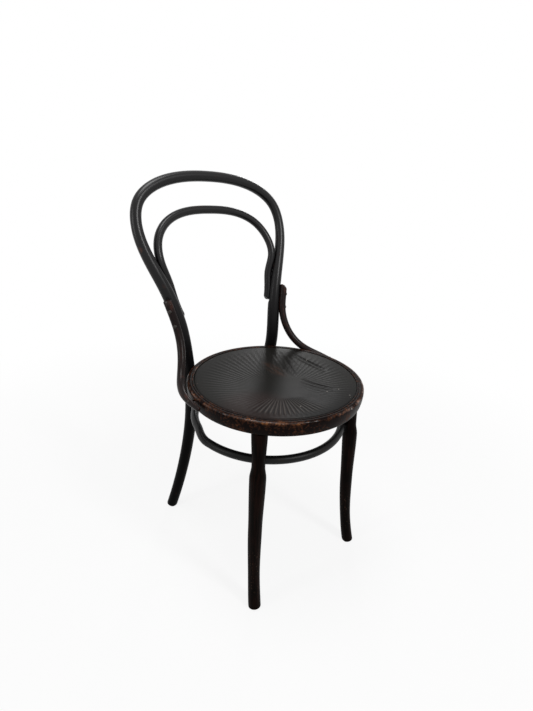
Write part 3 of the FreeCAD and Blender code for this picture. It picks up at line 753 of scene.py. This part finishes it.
SCREWS = [
    ("brace_post_screw_heads", "brace_post_screws", BRACE_SCREWS, ROUND_HEAD, 0.0317),
    ("brace_rim_screw_heads", "brace_rim_screws", RIM_SCREWS, ROUND_HEAD, 0.0225),
    ("inner_hoop_screw_heads", "inner_hoop_screws", HOOP_SCREWS, FLAT_HEAD, 0.0315),
    ("leg_ring_screw_heads", "leg_ring_screws", LEG_RING_SCREWS, ROUND_HEAD, 0.0309),
    ("frame_bolt_heads", "frame_bolts", BOLTS, BOLT_HEAD, 0.0805),
    ("seat_panel_pin_heads", "seat_panel_pins", PINS, PIN_HEAD, 0.014),
]


# Finishes

class Value:
    """A socket's value inside a material. Operators between values add Math nodes."""

    def __init__(self, finish, socket):
        self.finish = finish
        self.socket = socket

    def math(self, operation, *others):
        """This value and others through one Math node."""
        sockets = dict(enumerate((self,) + others))
        return self.finish.node("ShaderNodeMath", {"operation": operation}, sockets)

    def __add__(self, other):
        return self.math("ADD", other)

    def __sub__(self, other):
        return self.math("SUBTRACT", other)

    def __rsub__(self, other):
        return self.finish.node("ShaderNodeMath", {"operation": "SUBTRACT"}, {0: other, 1: self})

    def __mul__(self, other):
        return self.math("MULTIPLY", other)

    __radd__ = __add__
    __rmul__ = __mul__


class Finish:
    """One material, or the world, while its nodes are being laid out."""

    def __init__(self, holder):
        self.holder = holder
        holder.use_nodes = True
        self.tree = holder.node_tree
        self.tree.nodes.clear()

    def node(self, kind, settings=None, sockets=None, out=0):
        """Adds a node, sets it up, feeds its sockets, and returns one of its outputs."""
        made = self.tree.nodes.new(kind)
        for key, value in (settings or {}).items():
            setattr(made, key, value)
        for key, value in (sockets or {}).items():
            if isinstance(value, Value):
                self.tree.links.new(value.socket, made.inputs[key])
            else:
                made.inputs[key].default_value = value
        return Value(self, made.outputs[out]) if made.outputs else None

    def place(self, stretch=(1.0, 1.0, 1.0)):
        """Object coordinates, stretched along each axis."""
        where = self.node("ShaderNodeTexCoord", out="Object")
        return self.node("ShaderNodeVectorMath", {"operation": "MULTIPLY"}, {0: where, 1: stretch})

    def grain(self, stretch):
        """Coordinates of the unbent wood, stretched along each axis."""
        where = self.node("ShaderNodeAttribute", {"attribute_name": "grain"}, out="Vector")
        return self.node("ShaderNodeVectorMath", {"operation": "MULTIPLY"}, {0: where, 1: stretch})

    def attribute(self, name):
        """A number kept at every point of the mesh."""
        return self.node("ShaderNodeAttribute", {"attribute_name": name}, out="Fac")

    def height(self):
        """Height above the floor."""
        where = self.node("ShaderNodeTexCoord", out="Object")
        return self.node("ShaderNodeSeparateXYZ", None, {0: where}, out="Z")

    def seen(self):
        """1 for the camera and for mirrored or transmitted views of the background, else 0."""
        names = ("Is Camera Ray", "Is Glossy Ray", "Is Transmission Ray")
        camera, glossy, through = [self.node("ShaderNodeLightPath", out=name) for name in names]
        return camera.math("MAXIMUM", glossy).math("MAXIMUM", through)

    def noise(self, where, scale, detail=3.0, rough=0.55):
        """Soft noise between 0 and 1."""
        return self.node("ShaderNodeTexNoise", None,
                         {"Vector": where, "Scale": scale, "Detail": detail, "Roughness": rough})

    def soft(self, value, low, high):
        """Smooth step from 0 at low to 1 at high."""
        return self.node("ShaderNodeMapRange", {"interpolation_type": "SMOOTHSTEP"},
                         {"Value": value, "From Min": low, "From Max": high})

    def mix(self, share, first, second):
        """Colour between two colours."""
        return self.node("ShaderNodeMix", {"data_type": "RGBA"}, {0: share, 6: first, 7: second}, out=2)

    def spot(self, where, centre, size):
        """1 at a point on the chair, falling to 0 at a distance from it."""
        sockets = {0: where, 1: centre}
        away = self.node("ShaderNodeVectorMath", {"operation": "DISTANCE"}, sockets, out="Value")
        return 1 - self.soft(away, size * 0.4, size)

    def spots(self, where, centres, size):
        """The strongest of several spots of one size."""
        most = self.spot(where, centres[0], size)
        for centre in centres[1:]:
            most = most.math("MAXIMUM", self.spot(where, centre, size))
        return most

    def bump(self, height, distance, strength):
        """Normal bent by a height."""
        sockets = {"Height": height, "Distance": distance, "Strength": strength}
        return self.node("ShaderNodeBump", None, sockets)

    def close(self, sockets):
        """Ends the material in one Principled shader."""
        shader = self.node("ShaderNodeBsdfPrincipled", None, sockets)
        self.node("ShaderNodeOutputMaterial", None, {"Surface": shader})
        return self.holder


def colour(red, green, blue):
    """A colour written in the 0-255 steps of a screen, as the linear numbers that shaders use."""
    steps = np.array([red, green, blue]) / 255.0
    linear = np.where(steps <= 0.04045, steps / 12.92, ((steps + 0.055) / 1.055) ** 2.4)
    return tuple(float(part) for part in linear) + (1.0,)


WOOD_IOR = 1.42
# Painted shade colour for the lowest parts of the bent rods
PAINTED_SHADE_BLACK = colour(3, 2, 2)

# Places of marks: painted shade and a russet cast on the panel, each with its size, and scuffs on the
# hoops, both in metres, and specks in millimetres about the seat's axis

PAINTED_FRONT_SHADE = ((0.0, SEAT_Y - 0.14, 0.0), 0.13)
RUSSET = ((-0.115, SEAT_Y - 0.085, 0.0), 0.1)
SCUFF_SIZE = 0.009
SCUFFS = [(0.0565, 0.2419, 0.893), (-0.2070, 0.1858, 0.7271), (0.2120, 0.195, 0.7524),
          (-0.028, 0.2365, 0.816)]
SEAT_SPECKS = [(137.0, 34.9, 0.0), (-41.4, -131.6, 0.0), (80.9, -125.7, 0.0), (76.9, -160.8, 0.0),
               (54.1, -116.2, 0.0)]
RING_SPECKS = [(37.0, -200.5, 467.0), (-100.4, -179.5, 464.0), (-118.0, -166.0, 468.0)]


def wood(name):
    """A new, empty finish."""
    return Finish(bpy.data.materials.new(name))


def ebonised(name, dark, worn, amount, gloss, level, mottle, seam=None, scuffs=(), painted_low_shade=False):
    """Black-stained wood: dark grain lines, worn patches that show brown, and a rubbed satin skin.

    With painted low shade the wood's colour is painted blacker towards the floor as shade, and it has
    more coat high up, where hands hold it. A seam is the colour of the glue line that the wood's
    wear values mark.
    """
    finish = wood(name)
    where = finish.place()
    fine = finish.noise(finish.grain((300.0, 300.0, 10.0)), 1.0, 4.0)
    broad = finish.noise(where, 9.0, 2.0)
    patch = finish.noise(finish.grain((90.0, 90.0, 30.0)), 1.0, 4.0, 0.65)
    rubbed = finish.soft(patch + 0.25 * (broad - 0.5), *mottle) * amount
    lighter = tuple(1.6 * part for part in dark[:3]) + (1.0,)
    base = finish.mix(finish.soft(fine, 0.35, 0.7), dark, lighter)
    polish = 0.0
    if painted_low_shade:
        # Painted shade: below the seat the base colour is blackened towards the floor.
        base = finish.mix(0.95 - 0.95 * finish.soft(finish.height(), 0.2, 0.5), base, PAINTED_SHADE_BLACK)
        polish = 0.42 * finish.soft(finish.height(), 0.42, 0.74)
    if scuffs:
        scuffed = finish.spots(where, scuffs, SCUFF_SIZE) * finish.soft(patch, 0.42, 0.6)
        rubbed = rubbed.math("MAXIMUM", scuffed)
    tint = finish.mix(rubbed, base, worn)
    if seam:
        tint = finish.mix(finish.attribute("wear_and_painted_light"), tint, seam)
    rough = gloss + 0.14 * (fine - 0.5) + 0.2 * (broad - 0.5) + 0.1 * rubbed
    grainy = finish.bump(fine + 0.6 * patch, 0.0003, 0.3)
    return finish.close({"Base Color": tint, "Roughness": rough, "Normal": grainy, "IOR": WOOD_IOR,
                         "Specular IOR Level": level, "Coat Weight": polish, "Coat Roughness": 0.3})


def rim_wood():
    """Worn seat ring: near-black skin with fine brown specks, orange where its upper edge is rubbed."""
    finish = wood("worn_ring_finish")
    where = finish.place()
    wear_and_painted_light = finish.attribute("wear_and_painted_light")
    speck = finish.noise(where, 210.0, 5.0, 0.68)
    broad = finish.noise(where, 42.0, 2.0)
    brown = finish.soft(speck + 0.5 * (broad - 0.5) + 0.16 * wear_and_painted_light, 0.52, 0.68)
    orange = finish.soft(speck + 0.9 * (broad - 0.5) + 0.3 * wear_and_painted_light, 0.78, 0.95)
    tint = finish.mix(brown * 0.9, colour(14, 7, 6), colour(64, 38, 25))
    tint = finish.mix(orange * 0.85, tint, colour(120, 76, 42))
    pale = finish.spots(where, placed(RING_SPECKS).tolist(), 0.0026)
    tint = finish.mix(pale * 0.8, tint, colour(150, 140, 134))
    rough = 0.34 + 0.24 * (speck - 0.5) + 0.14 * brown
    polish = finish.soft(wear_and_painted_light, 0.5, 0.9) * finish.soft(broad, 0.35, 0.6)
    return finish.close({"Base Color": tint, "Roughness": rough, "IOR": WOOD_IOR,
                         "Specular IOR Level": 0.04, "Coat Weight": polish, "Coat Roughness": 0.13,
                         "Normal": finish.bump(speck, 0.0003, 0.25)})


def panel_skin():
    """Pressed panel: charcoal satin, painted lighter on the tops of its rays and beside its creases as
    highlight, painted darker in the valleys and the creases' grooves as shade, worn brown at the back.

    It has painted shade at the front and a russet cast at the front left.
    """
    finish = wood("pressed_panel_finish")
    where = finish.place()
    plan = finish.place((1.0, 1.0, 0.0))  # takes no account of height
    painted_relief_light = finish.attribute("wear_and_painted_light")
    pores = finish.noise(where, 800.0, 3.0)
    broad = finish.noise(where, 8.0, 3.0)
    streak = finish.noise(finish.place((260.0, 26.0, 10.0)), 1.0, 3.0)
    tint = finish.mix(broad, colour(19, 18, 17), colour(26, 25, 23))
    # Painted shade: the front of the panel is darkened.
    painted_front_shade = finish.spot(plan, *PAINTED_FRONT_SHADE)
    tint = finish.mix(painted_front_shade * 0.75, tint, colour(13, 12, 12))
    russet = finish.spot(plan, *RUSSET)
    tint = finish.mix(russet * 0.7, tint, colour(34, 23, 21))
    # Painted highlight on the tops of rays and on the ridges beside creases
    tint = finish.mix(finish.soft(painted_relief_light, 0.15, 0.7) * 0.6, tint, colour(74, 70, 66))
    # Painted shade in the valleys between rays and in the creases' grooves
    tint = finish.mix(finish.soft(0 - painted_relief_light, 0.02, 0.3) * 0.85, tint, colour(8, 7, 7))
    brown = finish.spot(finish.place((1.0, 0.4, 0.0)), (0.036, 0.4 * (0.044 + SEAT_Y), 0.0), 0.022)
    tint = finish.mix(brown * finish.soft(streak, 0.3, 0.7) * 0.8, tint, colour(54, 38, 30))
    pale = finish.spots(plan, placed(SEAT_SPECKS).tolist(), 0.0022)
    tint = finish.mix(pale * 0.7, tint, colour(130, 126, 120))
    rough = 0.38 + 0.16 * (broad - 0.5) + 0.1 * (pores - 0.5) - 0.05 * painted_relief_light
    return finish.close({"Base Color": tint, "Roughness": rough, "IOR": WOOD_IOR,
                         "Specular IOR Level": 0.05, "Normal": finish.bump(pores, 0.0002, 0.2)})


def leg_finish():
    """Front legs: near-black with a red-brown cast, knocked pale in specks near the floor."""
    finish = wood("turned_leg_finish")
    fine = finish.noise(finish.grain((240.0, 240.0, 12.0)), 1.0, 4.0)
    broad = finish.noise(finish.place(), 16.0, 2.0)
    knock = finish.noise(finish.place(), 260.0, 3.0, 0.6)
    grainy = finish.soft(fine + 0.5 * (broad - 0.5), 0.4, 0.7)
    tint = finish.mix(grainy, colour(6, 3, 2), colour(22, 10, 7))
    level = finish.height()
    low = finish.soft(level, 0.03, 0.07) * (1 - finish.soft(level, 0.12, 0.17))
    tint = finish.mix(low * finish.soft(knock, 0.62, 0.7), tint, colour(96, 74, 60))
    rough = 0.42 + 0.2 * (broad - 0.5)
    return finish.close({"Base Color": tint, "Roughness": rough, "IOR": WOOD_IOR,
                         "Specular IOR Level": 0.03, "Normal": finish.bump(fine, 0.0003, 0.3)})


def dark_steel():
    """Old steel, darkened, with a little rust in patches."""
    finish = wood("dark_steel_finish")
    where = finish.place()
    mottle = finish.noise(where, 260.0, 3.0)
    tint = finish.mix(finish.soft(mottle, 0.5, 0.75), colour(60, 58, 56), colour(58, 40, 30))
    rough = 0.42 + 0.3 * (mottle - 0.5)
    metal = 1 - 0.6 * finish.soft(mottle, 0.55, 0.75)
    return finish.close({"Base Color": tint, "Roughness": rough, "Metallic": metal,
                         "Normal": finish.bump(mottle, 0.0002, 0.3)})


def floor_finish():
    """Pale floor, seen as white far off and as nearly white near the chair, where its shadow shows."""
    finish = wood("floor_finish")
    speck = finish.noise(finish.place(), 40.0)
    tint = finish.mix(speck, (0.78, 0.78, 0.78, 1.0), (0.82, 0.82, 0.82, 1.0))
    matt = finish.node("ShaderNodeBsdfDiffuse", None, {"Color": tint})
    white = finish.node("ShaderNodeEmission", None, {"Strength": 1.0})
    away = finish.node("ShaderNodeVectorMath", {"operation": "LENGTH"}, {0: finish.place()}, out="Value")
    cover = 0.86 + 0.14 * finish.soft(away, 0.5, 1.6)
    shown = finish.node("ShaderNodeMixShader", None, {0: finish.seen() * cover, 1: matt, 2: white})
    finish.node("ShaderNodeOutputMaterial", None, {"Surface": shown})
    return finish.holder


def studio_sky():
    """The world: plain soft light, and white where the background is seen."""
    sky = Finish(bpy.data.worlds.new("studio"))
    light = sky.node("ShaderNodeBackground", None,
                     {"Color": (1.0, 1.0, 1.0, 1.0), "Strength": 0.35 + 0.65 * sky.seen()})
    sky.node("ShaderNodeOutputWorld", None, {"Surface": light})
    return sky.holder


# The chair is put together

finishes = {
    "bent_rod": ebonised("bent_rod_finish", colour(10, 9, 10), colour(58, 34, 26), amount=0.3,
                         gloss=0.36, level=0.05, mottle=(0.6, 0.74), scuffs=SCUFFS, painted_low_shade=True),
    "worn_brace": ebonised("brace_finish", colour(18, 10, 9), colour(58, 33, 26), amount=0.7,
                           gloss=0.32, level=0.15, mottle=(0.5, 0.66)),
    "worn_seat_ring": rim_wood(),
    "pressed_panel": panel_skin(),
    "turned_leg": leg_finish(),
    "leg_ring_rod": ebonised("leg_ring_finish", colour(10, 10, 10), colour(44, 32, 25), amount=0.5,
                             gloss=0.38, level=0.2, mottle=(0.58, 0.72), seam=colour(7, 6, 6)),
    "dark_steel": dark_steel(),
}
make_back_frame()
make_inner_hoop()
make_brace("right_hip_brace_wood", right_brace, "right_hip_brace", False)
make_brace("left_hip_brace_wood", left_brace, "left_hip_brace", True)
make_seat_ring()
make_seat_panel()
make_front_leg("right_front_leg_wood", "right_front_leg", False)
make_front_leg("left_front_leg_wood", "left_front_leg", True)
make_leg_ring()
for name, node, places, head, length in SCREWS:
    set_in_place(name, node, places, screw_rings(*head, length))
set_in_place("frame_bolt_washer_discs", "frame_bolt_washers", WASHERS, WASHER, wrap=True)
set_in_place("frame_bolt_nut_blocks", "frame_bolt_nuts", NUTS, NUT, wrap=True)
for cad_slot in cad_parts["tenon_lock_screws"].material_slots:
    cad_slot.material = finishes["dark_steel"]

# Studio

FLOOR_REACH = 60.0
MIDDLE = (0.0, 0.0, 0.5)


def studio_floor():
    """A wide pale floor under the chair."""
    corners = FLOOR_REACH * np.array([(-1, -1, 0), (1, -1, 0), (1, 1, 0), (-1, 1, 0)])
    ground = bpy.data.meshes.new("studio_floor")
    ground.from_pydata(corners.tolist(), [], [(0, 1, 2, 3)])
    ground.materials.append(floor_finish())
    thing = bpy.data.objects.new("studio_floor", ground)
    bpy.context.scene.collection.objects.link(thing)


def set_down(thing, right, up, back, spot):
    """Links an object with its own X, Y and Z axes along three directions and its origin at a spot."""
    rows = [[right[row], up[row], back[row], spot[row]] for row in range(3)]
    thing.matrix_world = Matrix(rows + [[0, 0, 0, 1]])
    bpy.context.scene.collection.objects.link(thing)


def lamp(name, spot, width, height, power):
    """A soft rectangular lamp at a spot, turned towards the middle of the chair."""
    light = bpy.data.lights.new(name, "AREA")
    light.shape = "RECTANGLE"
    light.size = width
    light.size_y = height
    light.energy = power
    away = unit(np.array(spot) - np.array(MIDDLE))
    right = unit(np.cross(UP, away))
    set_down(bpy.data.objects.new(name, light), right, np.cross(away, right), away, spot)


studio_floor()
lamp("overhead", (-0.2, 0.2, 2.4), 0.8, 0.8, 19.0)
lamp("key", (0.4, -1.75, 2.15), 0.4, 0.7, 26.0)
lamp("left_fill", (-1.9, 0.3, 1.3), 0.3, 1.0, 7.0)
lamp("window", (1.5, 1.6, 1.45), 0.4, 0.5, 6.0)
bpy.context.scene.world = studio_sky()
bpy.context.scene.view_settings.view_transform = "Standard"

# Camera: fitted to the photograph, whose height and focal length are in pixels

PHOTO_HEIGHT = 711.0
FOCAL_PIXELS = 403.8
SENSOR_MM = 36.0
CAMERA_TURN = math.radians(-40.317)
CAMERA_LIFT = math.radians(23.386)
CAMERA_ROLL = math.radians(-3.646)
CAMERA_AIM = np.array([0.0, SEAT_Y, 0.4])
CAMERA_BACK, CAMERA_ACROSS, CAMERA_BELOW = 0.96532, -0.0153, -0.1088


def set_camera():
    """The photograph's camera, from its turn, lift and roll about a point on the seat's axis."""
    level = math.cos(CAMERA_LIFT)
    back = np.array([math.sin(CAMERA_TURN) * level, -math.cos(CAMERA_TURN) * level,
                     math.sin(CAMERA_LIFT)])
    right = unit(np.cross(-back, UP))
    down = np.cross(-back, right)
    across = math.cos(CAMERA_ROLL) * right + math.sin(CAMERA_ROLL) * down
    below = -math.sin(CAMERA_ROLL) * right + math.cos(CAMERA_ROLL) * down
    spot = CAMERA_AIM + back * CAMERA_BACK + across * CAMERA_ACROSS + below * CAMERA_BELOW
    view = bpy.data.cameras.new("camera")
    view.lens = FOCAL_PIXELS * SENSOR_MM / PHOTO_HEIGHT
    view.sensor_width = SENSOR_MM
    view.clip_start = 0.01
    thing = bpy.data.objects.new("camera", view)
    set_down(thing, across, -below, back, spot)
    bpy.context.scene.camera = thing


set_camera()
